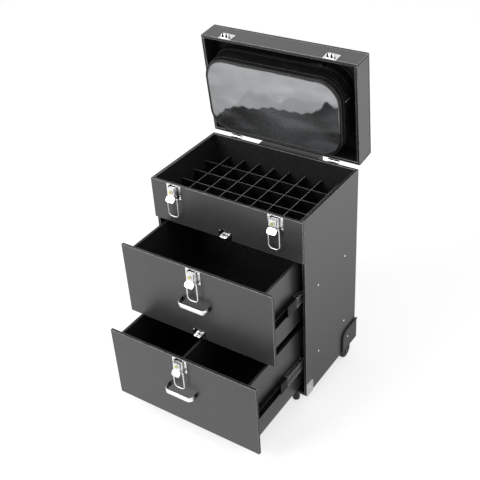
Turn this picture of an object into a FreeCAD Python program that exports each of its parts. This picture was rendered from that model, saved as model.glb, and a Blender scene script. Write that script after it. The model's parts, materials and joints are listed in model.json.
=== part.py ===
import FreeCAD, Part
import math
import os

os.makedirs("parts", exist_ok=True)
V = FreeCAD.Vector

# Makeup train case on wheels, in millimetres. x runs to the right, y to the back and z up from the floor.
# While it is built, y = 0 is the front face of the fascia. It is stored with its lid open and both drawers out.

# Overall sizes
case_width = 340.0
case_depth = 216.0
body_height = 425.0
stand_height = 28.0
panel = 6.0
fascia_height = 88.5
front_gap = 2.5
upper_front_height = 162.5
lower_front_lift = 2.0

# Pose that is stored
upper_out = 108.0
lower_out = 175.0
lid_open_deg = 84.1

# Lid
lid_height = 48.0
lid_gap = 2.0

# Divided tray
tray_columns = 9
tray_rows = 5
tray_height = 38.5
divider_thickness = 1.5
divider_fit = 0.2

# Drawer boxes
drawer_wall = 5.0
drawer_floor = 4.0
box_top_drop = 6.0
box_bottom_lift = 12.0
box_rear_room = 6.0
drawer_divider = 4.0

# Telescopic rails
rail_space = 12.7
rail_half_height = 13.5
rail_sheet = 1.2
rail_fit = 0.3
rail_reach = 9.5
rail_front_room = 2.5
rail_rear_room = 3.5
rail_front_rivet = 47.0
rail_rear_rivet = 156.0

# Hinges
hinge_inset = 56.0
hinge_offset = 4.3
knuckle_radius = 4.0
knuckle_length = 8.0
knuckle_fit = 0.3
pin_radius = 1.6
running_fit = 0.05
leaf_sheet = 1.5
leaf_height = 24.0

# Latches
latch_inset = 56.0
plate_width = 33.0
plate_height = 29.0
plate_sheet = 1.2
plate_drop = 0.7
ear_sheet = 1.2
ear_margin = 1.7
ear_shoulder = 6.4
ear_slope = 16.0
ear_corner = 2.0
lever_offset = 4.2
bail_offset = 8.4
lever_half = 7.5
lever_fit = 0.4
lever_sheet = 1.6
lever_pin_radius = 1.2
lever_pin_drop = 4.8
lever_length = 17.4
lever_barrel = 2.2
lever_face = 11.6
lever_cheek = 1.2
cheek_reach = 5.0
tab_half = 9.6
tab_length = 12.0
tab_lean_deg = 35.0
tab_corner = 4.5
bail_drop = 25.0
bail_length = 42.0
bail_half = 11.6
bail_radius = 1.25
bail_corner = 8.0
bail_elbow = 2.0
key_drop = 10.5
key_radius = 3.2
key_boss_radius = 5.0
key_boss = 1.0
key_proud = 0.5
key_slot = 0.9
key_slot_length = 4.5
plate_rivet_x = 13.7
plate_rivet_drop = 4.5

# Catches that the bails hook over
catch_width = 28.0
catch_height = 20.0
catch_sheet = 1.0
hood_half = 8.0
hood_start = 2.0
hood_end = 9.5
hood_proud = 9.0
hood_round = 2.6
notch_width = 4.6
notch_height = 3.0
notch_x = 4.2
catch_rivet_x = 11.6
catch_rivet_lift = 16.0

# Rivet heads
rivet_radius = 2.2
rivet_height = 1.1

# Pulls
pull_half = 33.0
pull_reach = 20.0
pull_band = 10.0
pull_sheet = 2.6
pull_corner = 11.0
pull_drop = 79.5

# Corner guards and front feet
guard_width = 25.0
guard_height = 32.0
guard_under = 20.0
guard_sheet = 0.8
guard_chamfer = 5.0
foot_inset = 32.0
foot_y = 17.0
foot_radius = 7.5
foot_top_radius = 9.0

# Wheels
wheel_radius = 18.0
wheel_width = 16.0
wheel_rear = 35.0
wheel_inset = 1.0
tyre_wall = 6.0
tyre_round = 2.5
wheel_room = 1.2
axle_radius = 3.0
axle_cap_radius = 5.0
axle_cap = 1.5
axle_end_play = 0.3
arch_wall = 1.5
cheek_wall = 4.0
cheek_half = 14.0
cheek_room = 1.0
housing_depth = 59.0
housing_height = 52.0
housing_lift = 2.0
housing_sheet = 2.5
housing_rear_sheet = 4.0
housing_rear_width = 30.0
housing_round = 18.0
housing_rivet_rear = 37.0
housing_rivet_lift = 32.0
part_fit = 0.3

# Pull handle, stowed behind the back panel
handle_inset = 118.0
handle_room = 24.0
grip_overhang = 18.0
grip_drop = 12.0
grip_height = 22.0
grip_depth = 32.0
grip_round = 7.0
guide_radius = 8.0
guide_wall = 1.2
stem_wall = 1.2
stem_lift = 20.0
bracket_height = 22.0
bracket_margin = 4.0
bracket_lift = 60.0
bracket_floor = 3.0

# Clear zip bag held in the lid
bag_left_room = 7.0
bag_right_room = 19.0
bag_bottom = 25.0
bag_top_room = 28.0
bag_proud = 20.0
bag_corner = 46.0
bag_edge = 9.0
window_margin = 10.0
window_sheet = 0.8
zip_width = 9.0
zip_sheet = 1.2
zip_depth = 22.0
slider_inset = 61.0
slider_length = 11.0
slider_width = 6.0
slider_height = 3.5

# Levels and places that follow from the sizes
half = case_width / 2
inner_half = half - panel
base = stand_height
rim = base + body_height
fascia_bottom = rim - fascia_height
shelf_top = fascia_bottom + panel
upper_top = fascia_bottom - front_gap
upper_bottom = upper_top - upper_front_height
lower_top = upper_bottom - front_gap
lower_bottom = base + lower_front_lift
back_inner = case_depth - panel
box_half = inner_half - rail_space
box_rear = back_inner - box_rear_room
upper_rail_z = (upper_top + upper_bottom) / 2
lower_rail_z = (lower_top + lower_bottom) / 2
rail_front = panel + rail_front_room
rail_length = back_inner - rail_rear_room - rail_front
rail_rivets_y = (rail_front + rail_front_rivet, rail_front + rail_rear_rivet)
hinge_x = half - hinge_inset
hinge_y = case_depth + hinge_offset
hinge_z = rim + lid_gap / 2
lid_bottom = rim + lid_gap
lid_top = lid_bottom + lid_height
ear_inner = lever_half + lever_fit
ear_depth = bail_offset + ear_margin
latch_x = half - latch_inset
latch_top = rim - plate_drop
foot_x = half - foot_inset
wheel_y = case_depth - wheel_rear
housing_front = case_depth - housing_depth
housing_rivet_y = case_depth - housing_rivet_rear
wheel_outer = half - wheel_inset
wheel_inner = wheel_outer - wheel_width
cheek_outer = wheel_inner - cheek_room
cheek_inner = cheek_outer - cheek_wall
arch_inner = wheel_radius + wheel_room
arch_outer = arch_inner + arch_wall
handle_x = half - handle_inset
handle_y = case_depth + handle_room
grip_z = (rim - grip_drop - grip_height, rim - grip_drop)
guide_bottom = base + bracket_lift + bracket_floor

# The origin lies on the floor, under the middle of the stored pose from the lower pull to the open lid.
lid_open = math.radians(lid_open_deg)
rear_reach = hinge_y - hinge_offset * math.cos(lid_open) + (lid_top - hinge_z) * math.sin(lid_open)
front_reach = lower_out + pull_reach
origin_y = (rear_reach - front_reach) / 2


def box(x, y, z):
    return Part.makeBox(x[1] - x[0], y[1] - y[0], z[1] - z[0], V(x[0], y[0], z[0]))


def rod_x(radius, x, y, z):
    return Part.makeCylinder(radius, x[1] - x[0], V(x[0], y, z), V(1, 0, 0))


def rod_y(radius, x, y, z):
    return Part.makeCylinder(radius, y[1] - y[0], V(x, y[0], z), V(0, 1, 0))


def rod_z(radius, x, y, z):
    return Part.makeCylinder(radius, z[1] - z[0], V(x, y, z[0]), V(0, 0, 1))


def both_sides(shape):
    return [shape, shape.mirror(V(0, 0, 0), V(1, 0, 0))]


def fillet_along(shape, axis, radius, keep):
    """Round the straight edges that run along an axis and whose middle passes the test."""
    picked = []
    for edge in shape.Edges:
        if not isinstance(edge.Curve, (Part.Line, Part.LineSegment)):
            continue
        run = edge.Vertexes[-1].Point - edge.Vertexes[0].Point
        if run.cross(axis).Length < 1e-6 * run.Length and keep(edge.CenterOfMass):
            picked.append(edge)
    return shape.makeFillet(radius, picked)


def bent_path(points, radii):
    """A wire of straight runs joined by tangent arcs, one radius for each inner point."""
    edges = []
    start = points[0]
    for before, corner, after, radius in zip(points, points[1:], points[2:], radii):
        towards = (before - corner).normalize()
        onwards = (after - corner).normalize()
        half_turn = towards.getAngle(onwards) / 2
        entry = corner + towards * (radius / math.tan(half_turn))
        leave = corner + onwards * (radius / math.tan(half_turn))
        bisector = (towards + onwards).normalize()
        middle = corner + bisector * (radius / math.sin(half_turn) - radius)
        edges.append(Part.LineSegment(start, entry).toShape())
        edges.append(Part.Arc(entry, middle, leave).toShape())
        start = leave
    edges.append(Part.LineSegment(start, points[-1]).toShape())
    return Part.Wire(edges)


def round_wire(points, radii, radius):
    path = bent_path(points, radii)
    direction = points[1] - points[0]
    profile = Part.Wire([Part.Circle(points[0], direction, radius).toShape()])
    return path.makePipeShell([profile], True, True)


def rivet_out(x, y, z, direction):
    """A low domed rivet head that stands on a face, pointing along the direction."""
    ball = (rivet_radius ** 2 + rivet_height ** 2) / (2 * rivet_height)
    seat = V(x, y, z)
    dome = Part.makeSphere(ball, seat - direction * (ball - rivet_height))
    return dome.common(Part.makeCylinder(rivet_radius, rivet_height, seat, direction))


def rivet_front(x, y, z):
    return rivet_out(x, y, z, V(0, -1, 0))


def opened(shape):
    """Turn a piece of the closed lid to where it stands in the stored pose."""
    return shape.rotate(V(0, hinge_y, hinge_z), V(1, 0, 0), -lid_open_deg)


nodes = {}


def add(name, *shapes):
    nodes[name] = list(shapes)


# Cabinet panels
wheel_cut = rod_x(arch_outer + part_fit, (cheek_inner - part_fit, half + panel), wheel_y, wheel_radius)


def side_panel():
    return box((inner_half, half), (panel, case_depth), (base, rim)).cut(wheel_cut)


def bottom_panel():
    floor = box((-inner_half, inner_half), (panel, back_inner), (base, base + panel))
    for cutter in both_sides(wheel_cut):
        floor = floor.cut(cutter)
    return floor


add("side_panels", *both_sides(side_panel()))
add("back_panel", box((-inner_half, inner_half), (back_inner, case_depth), (base, rim)))
tray_shelf = box((-inner_half, inner_half), (panel, back_inner), (fascia_bottom, shelf_top))
add("shelf_panels", bottom_panel(), tray_shelf)
add("fascia", box((-half, half), (0, panel), (fascia_bottom, rim)))

# Tray dividers, half-lapped where they cross
tray_z = (shelf_top, shelf_top + tray_height)
lap_z = shelf_top + tray_height / 2
column_pitch = 2 * inner_half / tray_columns
row_pitch = (back_inner - panel) / tray_rows
column_lines = [-inner_half + column_pitch * (i + 1) for i in range(tray_columns - 1)]
row_lines = [panel + row_pitch * (i + 1) for i in range(tray_rows - 1)]


def around(centre, width):
    return (centre - width / 2, centre + width / 2)


def long_divider(y):
    strip = box((-inner_half + divider_fit, inner_half - divider_fit), around(y, divider_thickness), tray_z)
    for x in column_lines:
        slot = around(x, divider_thickness + 2 * divider_fit)
        strip = strip.cut(box(slot, around(y, 2 * divider_thickness), (lap_z, tray_z[1] + panel)))
    return strip


def cross_divider(x):
    strip = box(around(x, divider_thickness), (panel + divider_fit, back_inner - divider_fit), tray_z)
    for y in row_lines:
        slot = around(y, divider_thickness + 2 * divider_fit)
        low = (tray_z[0] - panel, lap_z + divider_fit)
        strip = strip.cut(box(around(x, 2 * divider_thickness), slot, low))
    return strip


add("tray_dividers_long", *[long_divider(y) for y in row_lines])
add("tray_dividers_cross", *[cross_divider(x) for x in column_lines])


# Rails: three nested channels on each side of a drawer
def channel(x_web, x_lip, half_height, y_front, z):
    """A channel with its web at x_web, open towards x_lip."""
    inward = 1 if x_lip > x_web else -1
    y = (y_front, y_front + rail_length)
    outer = box(sorted((x_web, x_lip)), y, (z - half_height, z + half_height))
    hollow_x = sorted((x_web + inward * rail_sheet, x_lip + inward * panel))
    hollow_z = (z - half_height + rail_sheet, z + half_height - rail_sheet)
    return outer.cut(box(hollow_x, (y[0] - panel, y[1] + panel), hollow_z))


rail_step = rail_sheet + rail_fit


def cabinet_rails(z):
    return both_sides(channel(inner_half, inner_half - rail_reach, rail_half_height, rail_front, z))


def middle_rails(z, travel):
    web = inner_half - rail_step
    height = rail_half_height - rail_step
    return both_sides(channel(web, web - rail_reach + rail_fit, height, rail_front - travel, z))


def drawer_rails(z, travel):
    height = rail_half_height - 2 * rail_step
    lip = inner_half - 2 * rail_step - rail_fit
    return both_sides(channel(box_half, lip, height, rail_front - travel, z))


add("cabinet_rails", *cabinet_rails(upper_rail_z), *cabinet_rails(lower_rail_z))
add("upper_middle_rails", *middle_rails(upper_rail_z, upper_out / 2))
add("lower_middle_rails", *middle_rails(lower_rail_z, lower_out / 2))


# Hinges: two outer knuckles on the cabinet, one between them on the lid
def knuckle(x):
    return rod_x(knuckle_radius, x, hinge_y, hinge_z)


def leaf(x, z):
    return box(x, (case_depth, case_depth + leaf_sheet), z)


def bored(shape):
    return shape.cut(rod_x(pin_radius + running_fit, around(hinge_x, 6 * knuckle_length), hinge_y, hinge_z))


hinge_half = 1.5 * knuckle_length


def cabinet_leaf():
    shape = leaf((hinge_x - hinge_half, hinge_x + hinge_half), (rim - leaf_height, rim - knuckle_radius))
    for side in (-1, 1):
        near = hinge_x + side * (knuckle_length / 2 + knuckle_fit)
        far = hinge_x + side * hinge_half
        span = sorted((near, far))
        neck = leaf(span, (rim - leaf_height, hinge_z))
        shape = shape.fuse([neck, knuckle(span)])
    return bored(shape.removeSplitter())


def lid_leaf():
    span = around(hinge_x, knuckle_length)
    width = (hinge_x - hinge_half, hinge_x + hinge_half)
    shape = leaf(width, (lid_bottom + knuckle_radius, lid_bottom + leaf_height))
    neck = leaf(span, (hinge_z, lid_bottom + leaf_height))
    return bored(shape.fuse([neck, knuckle(span)]).removeSplitter())


def hinge_pin():
    return rod_x(pin_radius, around(hinge_x, 2 * hinge_half), hinge_y, hinge_z)


def leaf_rivets(z):
    """The rivet heads that hold one leaf, on its outer face."""
    spots = (hinge_x - hinge_half / 2, hinge_x + hinge_half / 2)
    return [rivet_out(x, case_depth + leaf_sheet, z, V(0, 1, 0)) for x in spots]


cabinet_hinge = [cabinet_leaf(), hinge_pin()] + leaf_rivets(rim - leaf_height / 2)
lid_hinge = [lid_leaf()] + leaf_rivets(lid_bottom + leaf_height / 2 + rivet_radius)
add("cabinet_hinges", *[s for piece in cabinet_hinge for s in both_sides(piece)])
add("lid_hinges", *[opened(s) for piece in lid_hinge for s in both_sides(piece)])

# Lid: a shallow box of five panels
lid_walls_z = (lid_bottom, lid_top - panel)
add("lid_top", opened(box((-half, half), (0, case_depth), (lid_top - panel, lid_top))))
lid_long_walls = [box((-half, half), y, lid_walls_z) for y in ((0, panel), (back_inner, case_depth))]
lid_end_walls = both_sides(box((inner_half, half), (panel, back_inner), lid_walls_z))
add("lid_long_walls", *[opened(s) for s in lid_long_walls])
add("lid_end_walls", *[opened(s) for s in lid_end_walls])

# Zip bag: a soft block against the lid's top panel, its clear face towards the mouth
bag_left = inner_half - bag_left_room
bag_right = inner_half - bag_right_room
bag_y = (bag_top_room, case_depth - bag_bottom)
bag_z = (lid_bottom - bag_proud, lid_top - panel)


def rounded_block(x, y, z, corner):
    return fillet_along(box(x, y, z), V(0, 0, 1), corner, lambda middle: True)


def bag_body():
    block = rounded_block((-bag_left, bag_right), bag_y, bag_z, bag_corner)
    front = [face for face in block.Faces if abs(face.CenterOfMass.z - bag_z[0]) < 1e-6]
    return block.makeFillet(bag_edge, front[0].Edges)


def bag_window():
    x = (-bag_left + window_margin, bag_right - window_margin)
    y = (bag_y[0] + window_margin, bag_y[1] - window_margin)
    return rounded_block(x, y, (bag_z[0] - window_sheet, bag_z[0]), bag_corner - window_margin)


zip_z = around(bag_z[1] - zip_depth, zip_width)
slider_z = around(bag_z[1] - zip_depth, slider_width)
slider_y = (bag_y[0] - zip_sheet - slider_height, bag_y[0] - zip_sheet)
bag_middle = (bag_right - bag_left) / 2
zip_half = (bag_left + bag_right) / 2 - bag_corner
slider_x = bag_right - slider_inset
add("bag_body", opened(bag_body()))
add("bag_window", opened(bag_window()))
add("bag_zip", opened(box(around(bag_middle, 2 * zip_half), (bag_y[0] - zip_sheet, bag_y[0]), zip_z)))
add("zip_slider", opened(box(around(slider_x, slider_length), slider_y, slider_z)))


# Latches: plate with two ears, lever on a pin, wire bail, and a key plug in the lever
def latch_ear(x, face, top):
    """One ear of a latch plate, shallow at the lever's pin and deep where the bail turns in it."""
    upper, lower = top - plate_drop, top - plate_height
    back, front = face - plate_sheet, face - ear_depth
    corners = [(back, upper), (face - ear_shoulder, upper), (front, top - ear_slope)]
    corners += [(front, lower + ear_corner), (front + ear_corner, lower), (back, lower), (back, upper)]
    outline = Part.makePolygon([V(x, y, z) for y, z in corners])
    return Part.Face(outline).extrude(V(ear_sheet, 0, 0))


def latch_plate(x, face, top):
    plate = box(around(x, plate_width), (face - plate_sheet, face), (top - plate_height, top))
    for start in (x - ear_inner - ear_sheet, x + ear_inner):
        plate = plate.fuse(latch_ear(start, face, top))
    across = (x - plate_width, x + plate_width)
    plate = plate.cut(rod_x(lever_pin_radius + running_fit, across, face - lever_offset, top - lever_pin_drop))
    plate = plate.cut(rod_x(bail_radius + running_fit, across, face - bail_offset, top - bail_drop))
    return plate.removeSplitter()


def latch_pin(x, face, top):
    reach = ear_inner + ear_sheet
    return rod_x(lever_pin_radius, (x - reach, x + reach), face - lever_offset, top - lever_pin_drop)


def latch_lever(x, face, top):
    y_pin = face - lever_offset
    z_pin = top - lever_pin_drop
    y_face = face - lever_face
    sheet = (y_face, y_face + lever_sheet)
    z_tab = z_pin + lever_barrel - lever_length
    body = box((x - lever_half, x + lever_half), sheet, (z_tab, z_pin + lever_barrel))
    web = box((x - lever_half, x + lever_half), (y_face, y_pin), around(z_pin, 2 * lever_barrel))
    barrel = rod_x(lever_barrel, (x - lever_half, x + lever_half), y_pin, z_pin)
    cheek_y = (y_face, face - cheek_reach)
    cheeks = [box((start, start + lever_cheek), cheek_y, (z_tab, z_pin))
              for start in (x - lever_half, x + lever_half - lever_cheek)]
    tab = box((x - tab_half, x + tab_half), sheet, (z_tab - tab_length, z_tab))
    tab = fillet_along(tab, V(0, 1, 0), tab_corner, lambda middle: True)
    tab = tab.rotate(V(x, y_face, z_tab), V(1, 0, 0), -tab_lean_deg)
    boss = rod_y(key_boss_radius, x, (y_face - key_boss, y_face), top - key_drop)
    lever = body.fuse([web, barrel, tab, boss] + cheeks).removeSplitter()
    across = (x - plate_width, x + plate_width)
    lever = lever.cut(rod_x(lever_pin_radius + running_fit, across, y_pin, z_pin))
    through = (y_face - 2 * key_boss, sheet[1])
    return lever.cut(rod_y(key_radius + running_fit, x, through, top - key_drop))


def key_plug(x, face, top):
    y_face = face - lever_face
    y = (y_face - key_boss - key_proud, y_face + lever_sheet)
    plug = rod_y(key_radius, x, y, top - key_drop)
    slot_z = around(top - key_drop, key_slot_length)
    return plug.cut(box(around(x, key_slot), (y[0] - key_slot, y[0] + key_slot), slot_z))


def latch_bail(x, face, top):
    y = face - bail_offset
    z = top - bail_drop
    low = z - bail_length
    points = [V(x - ear_inner, y, z), V(x - bail_half, y, z), V(x - bail_half, y, low)]
    points += [V(x + bail_half, y, low), V(x + bail_half, y, z), V(x + ear_inner, y, z)]
    return round_wire(points, (bail_elbow, bail_corner, bail_corner, bail_elbow), bail_radius)


def plate_set(x, face, top):
    """A latch plate with the lever's pin and the plate's own rivets."""
    pieces = [latch_plate(x, face, top), latch_pin(x, face, top)]
    for dx in (-plate_rivet_x, plate_rivet_x):
        for drop in (plate_rivet_drop, plate_height - plate_rivet_drop):
            pieces.append(rivet_front(x + dx, face - plate_sheet, top - drop))
    return pieces


def catch(x, face, edge):
    plate = box(around(x, catch_width), (face - catch_sheet, face), (edge, edge + catch_height))
    plate = fillet_along(plate, V(0, 1, 0), hood_round, lambda middle: middle.z > edge + hood_end)
    hood_y = (face - hood_proud, face - catch_sheet)
    hood = box((x - hood_half, x + hood_half), hood_y, (edge + hood_start, edge + hood_end))
    front = [face_ for face_ in hood.Faces if abs(face_.CenterOfMass.y - (face - hood_proud)) < 1e-6]
    hood = hood.makeFillet(hood_round, front[0].Edges)
    for side in (-1, 1):
        gap = around(x + side * notch_x, notch_width)
        low = (edge + hood_start - notch_height, edge + hood_start + notch_height)
        hood = hood.cut(box(gap, (face - 2 * hood_proud, face - 2 * catch_sheet), low))
    return plate.fuse(hood).removeSplitter()


def catch_set(x, face, edge):
    """A catch with its two rivets."""
    spots = (x - catch_rivet_x, x + catch_rivet_x)
    return [catch(x, face, edge)] + [rivet_front(s, face - catch_sheet, edge + catch_rivet_lift) for s in spots]


latches = {
    "fascia_left": (-latch_x, 0.0, latch_top),
    "fascia_right": (latch_x, 0.0, latch_top),
    "upper": (0.0, -upper_out, upper_top - plate_drop),
    "lower": (0.0, -lower_out, lower_top - plate_drop),
}
add("fascia_latch_plates", *plate_set(*latches["fascia_left"]), *plate_set(*latches["fascia_right"]))
add("upper_latch_plate", *plate_set(*latches["upper"]))
add("lower_latch_plate", *plate_set(*latches["lower"]))
for name, place in latches.items():
    add(name + "_lever", latch_lever(*place))
    add(name + "_bail", latch_bail(*place))
    add(name + "_key_plug", key_plug(*place))

add("fascia_catch", *catch_set(0.0, 0.0, fascia_bottom))
add("upper_catch", *catch_set(0.0, -upper_out, upper_bottom))
add("lid_catches", *[opened(s) for x in (-latch_x, latch_x) for s in catch_set(x, 0.0, lid_bottom)])


# Drawers
def pull(face, z):
    plan_y = (face - pull_reach, face)
    z_band = around(z, pull_band)
    outer = box((-pull_half, pull_half), plan_y, z_band)
    outer = fillet_along(outer, V(0, 0, 1), pull_corner, lambda middle: middle.y < face - pull_sheet)
    inner_x = (-pull_half + pull_sheet, pull_half - pull_sheet)
    inner = box(inner_x, (plan_y[0] + pull_sheet, face + panel), z_band)
    corner = pull_corner - pull_sheet
    inner = fillet_along(inner, V(0, 0, 1), corner, lambda middle: middle.y < face - pull_sheet)
    return outer.cut(inner)


def drawer(prefix, out, bottom, top, rail_z):
    front_y = (-out, panel - out)
    rear = box_rear - out
    floor_z = (bottom + box_bottom_lift, bottom + box_bottom_lift + drawer_floor)
    wall_z = (floor_z[0], top - box_top_drop)
    wall_y = (front_y[1], rear)
    inside = box_half - drawer_wall
    add(prefix + "_front", box((-half, half), front_y, (bottom, top)))
    add(prefix + "_sides", *both_sides(box((inside, box_half), wall_y, wall_z)))
    add(prefix + "_back", box((-inside, inside), (rear - drawer_wall, rear), wall_z))
    add(prefix + "_floor", box((-inside, inside), (front_y[1], rear - drawer_wall), floor_z))
    add(prefix + "_pull", pull(-out, top - pull_drop))
    add(prefix + "_rails", *drawer_rails(rail_z, out))


drawer("upper", upper_out, upper_bottom, upper_top, upper_rail_z)
drawer("lower", lower_out, lower_bottom, lower_top, lower_rail_z)
divider_y = (panel - lower_out, box_rear - drawer_wall - lower_out)
divider_z = (lower_bottom + box_bottom_lift + drawer_floor, lower_top - box_top_drop)
add("lower_divider", box(around(0, drawer_divider), divider_y, divider_z))


# Corner guards, feet and wheels
def corner_guard():
    y = (panel, panel + guard_width)
    side = box((half, half + guard_sheet), y, (base - guard_sheet, base + guard_height))
    under = box((half - guard_under, half), y, (base - guard_sheet, base))
    top_rear = [edge for edge in side.Edges
                if edge.CenterOfMass.y > y[1] - 1e-6 and edge.CenterOfMass.z > base + guard_height - 1e-6]
    return side.makeChamfer(guard_chamfer, top_rear).fuse(under).removeSplitter()


def wheel_housing():
    side = box((half, half + housing_sheet), (housing_front, case_depth + housing_rear_sheet),
               (base + housing_lift, base + housing_lift + housing_height))
    side = fillet_along(side, V(1, 0, 0), housing_round,
                        lambda middle: middle.y < housing_front + 1 and middle.z > base + housing_height / 2)
    rear = box((half - housing_rear_width, half), (case_depth, case_depth + housing_rear_sheet),
               (base + housing_lift, base + housing_lift + housing_height))
    arch = rod_x(arch_outer, (cheek_inner, half), wheel_y, wheel_radius)
    arch = arch.cut(rod_x(arch_inner, (cheek_outer, half), wheel_y, wheel_radius))
    arch_y = (wheel_y - arch_outer, wheel_y + arch_outer)
    arch = arch.common(box((cheek_inner, half), arch_y, (base, base + arch_outer)))
    cheek = box((cheek_inner, cheek_outer), (wheel_y - cheek_half, wheel_y + cheek_half),
                (wheel_radius - 2 * axle_radius, base))
    shape = side.fuse([rear, arch, cheek]).removeSplitter()
    return shape.cut(rod_x(axle_radius, (cheek_inner - panel, cheek_outer + panel), wheel_y, wheel_radius))


def wheel_axle():
    end = wheel_outer + axle_end_play
    shaft = rod_x(axle_radius, (cheek_inner, end), wheel_y, wheel_radius)
    return shaft.fuse(rod_x(axle_cap_radius, (end, end + axle_cap), wheel_y, wheel_radius)).removeSplitter()


def wheel_hub():
    hub = rod_x(wheel_radius - tyre_wall, (wheel_inner, wheel_outer), wheel_y, wheel_radius)
    through = (wheel_inner - panel, wheel_outer + panel)
    return hub.cut(rod_x(axle_radius + running_fit, through, wheel_y, wheel_radius))


def wheel_tyre():
    tyre = rod_x(wheel_radius, (wheel_inner, wheel_outer), wheel_y, wheel_radius)
    tyre = tyre.makeFillet(tyre_round, [edge for edge in tyre.Edges if isinstance(edge.Curve, Part.Circle)])
    through = (wheel_inner - panel, wheel_outer + panel)
    return tyre.cut(rod_x(wheel_radius - tyre_wall, through, wheel_y, wheel_radius))


def foot():
    return Part.makeCone(foot_radius, foot_top_radius, stand_height, V(foot_x, foot_y, 0), V(0, 0, 1))


add("corner_guards", *both_sides(corner_guard()))
add("front_feet", *both_sides(foot()))
add("wheel_housings", *both_sides(wheel_housing()))
add("wheel_axles", *both_sides(wheel_axle()))
for piece, maker in (("hub", wheel_hub), ("tyre", wheel_tyre)):
    right, left = both_sides(maker())
    add("right_wheel_" + piece, right)
    add("left_wheel_" + piece, left)


# Pull handle: two brackets on the back panel hold two guides, and the grip's stems slide in them
def handle_bracket(bottom, hole_bottom):
    reach = handle_x + guide_radius + bracket_margin
    top = bottom + bracket_height
    block = box((-reach, reach), (case_depth, handle_y + guide_radius + bracket_margin), (bottom, top))
    hole = rod_z(guide_radius + running_fit, handle_x, handle_y, (hole_bottom, top + panel))
    for cutter in both_sides(hole):
        block = block.cut(cutter)
    return block


def tube_z(radius, wall, z):
    """An upright tube of the handle, on the right."""
    bore = rod_z(radius - wall, handle_x, handle_y, (z[0] - panel, z[1] + panel))
    return rod_z(radius, handle_x, handle_y, z).cut(bore)


def handle_grip():
    reach = handle_x + grip_overhang
    bar = box((-reach, reach), around(handle_y, grip_depth), grip_z)
    return fillet_along(bar, V(1, 0, 0), grip_round, lambda middle: True)


upper_bracket = grip_z[0] - bracket_height
guide = tube_z(guide_radius, guide_wall, (guide_bottom, grip_z[0]))
stem = tube_z(guide_radius - guide_wall - part_fit, stem_wall, (guide_bottom + stem_lift, grip_z[0]))
lower_bracket = base + bracket_lift
brackets = [handle_bracket(lower_bracket, guide_bottom), handle_bracket(upper_bracket, upper_bracket - panel)]
add("handle_guides", *brackets, *both_sides(guide))
add("pull_handle", handle_grip(), *both_sides(stem))

# Rivet heads on the outside of the side panels
side_rivets = []
for y in rail_rivets_y:
    for z in (upper_rail_z, lower_rail_z):
        side_rivets += both_sides(rivet_out(half, y, z, V(1, 0, 0)))
guard_rivet = (half + guard_sheet, panel + guard_width / 2, base + guard_height / 2)
housing_rivet = (half + housing_sheet, housing_rivet_y, base + housing_rivet_lift)
for spot in (guard_rivet, housing_rivet):
    side_rivets += both_sides(rivet_out(*spot, V(1, 0, 0)))
add("side_rivets", *side_rivets)

for name, shapes in nodes.items():
    shape = shapes[0] if len(shapes) == 1 else Part.makeCompound(shapes)
    shape.translate(V(0, -origin_y, 0))
    shape.exportStep("parts/" + name + ".step")
print(len(nodes), "nodes")
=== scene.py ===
# %% [markdown]
# This lesson dresses a wheeled makeup case that was built in CAD. The CAD solids arrive as a fixed frame:
# every new piece is put straight into their coordinates, in metres, and rides on one of their bodies. That
# is simpler and safer than parenting by hand, because a drawer or the lid can then move with everything on
# it.

# %% Load the frame
import json
import math

import bmesh
import bpy
import numpy as np
from mathutils import Matrix, Vector


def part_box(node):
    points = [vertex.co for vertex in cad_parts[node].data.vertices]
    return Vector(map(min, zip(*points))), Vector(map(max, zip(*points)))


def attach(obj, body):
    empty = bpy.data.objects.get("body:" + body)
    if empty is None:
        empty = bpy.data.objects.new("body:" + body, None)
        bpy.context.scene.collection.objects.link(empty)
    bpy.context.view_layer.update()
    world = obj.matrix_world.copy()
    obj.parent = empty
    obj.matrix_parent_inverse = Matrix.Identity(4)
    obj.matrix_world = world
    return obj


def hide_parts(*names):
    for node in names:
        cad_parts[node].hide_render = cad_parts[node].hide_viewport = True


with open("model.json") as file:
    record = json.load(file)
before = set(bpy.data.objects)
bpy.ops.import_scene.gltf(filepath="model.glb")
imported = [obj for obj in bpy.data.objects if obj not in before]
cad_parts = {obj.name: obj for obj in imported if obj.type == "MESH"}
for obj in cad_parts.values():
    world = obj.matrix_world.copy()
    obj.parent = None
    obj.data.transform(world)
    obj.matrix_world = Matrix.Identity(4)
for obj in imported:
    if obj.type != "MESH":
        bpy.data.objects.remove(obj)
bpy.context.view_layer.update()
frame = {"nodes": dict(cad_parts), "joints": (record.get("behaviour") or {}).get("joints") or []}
nodes = frame["nodes"]
front_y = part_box("fascia")[0].y

# %% [markdown]
# The camera stands in front of the case, to its right and well above it, and is tipped a little about its
# own line of sight. Its three directions follow from two turns and that tip, so it is clearer to write them
# as vectors than to aim it with a constraint. The lens is a little longer than normal, which keeps the
# sides nearly parallel.

# %% Camera
scene = bpy.context.scene
turn, rise, tip = np.radians([35.4988, 34.3201, -3.8234])
camera_place = (0.7971, front_y - 1.0710, 1.2711)
back = np.array([math.sin(turn) * math.cos(rise), -math.cos(turn) * math.cos(rise), math.sin(rise)])
level = np.array([math.cos(turn), math.sin(turn), 0.0])
upward = np.cross(back, level)
right = math.cos(tip) * level + math.sin(tip) * upward
above = math.cos(tip) * upward - math.sin(tip) * level
stand = np.eye(4)
stand[:3, :3] = np.stack([right, above, back], axis=1)
stand[:3, 3] = camera_place
camera = bpy.data.objects.new("camera", bpy.data.cameras.new("camera"))
camera.matrix_world = Matrix(stand.tolist())
camera.data.lens = 63.51
camera.data.sensor_width = 36.0
scene.collection.objects.link(camera)
scene.camera = camera
scene.view_settings.view_transform = "Standard"
print("camera looks along", (-back).round(3))

# %% [markdown]
# A finish is a small network of shader nodes. Wiring it by hand takes many lines, so one class wraps a
# socket and turns Python arithmetic into Math nodes, and another adds any node from its type, its settings
# and its inputs. Node groups would do as well, but expressions read like the formula that they stand for.

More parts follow.
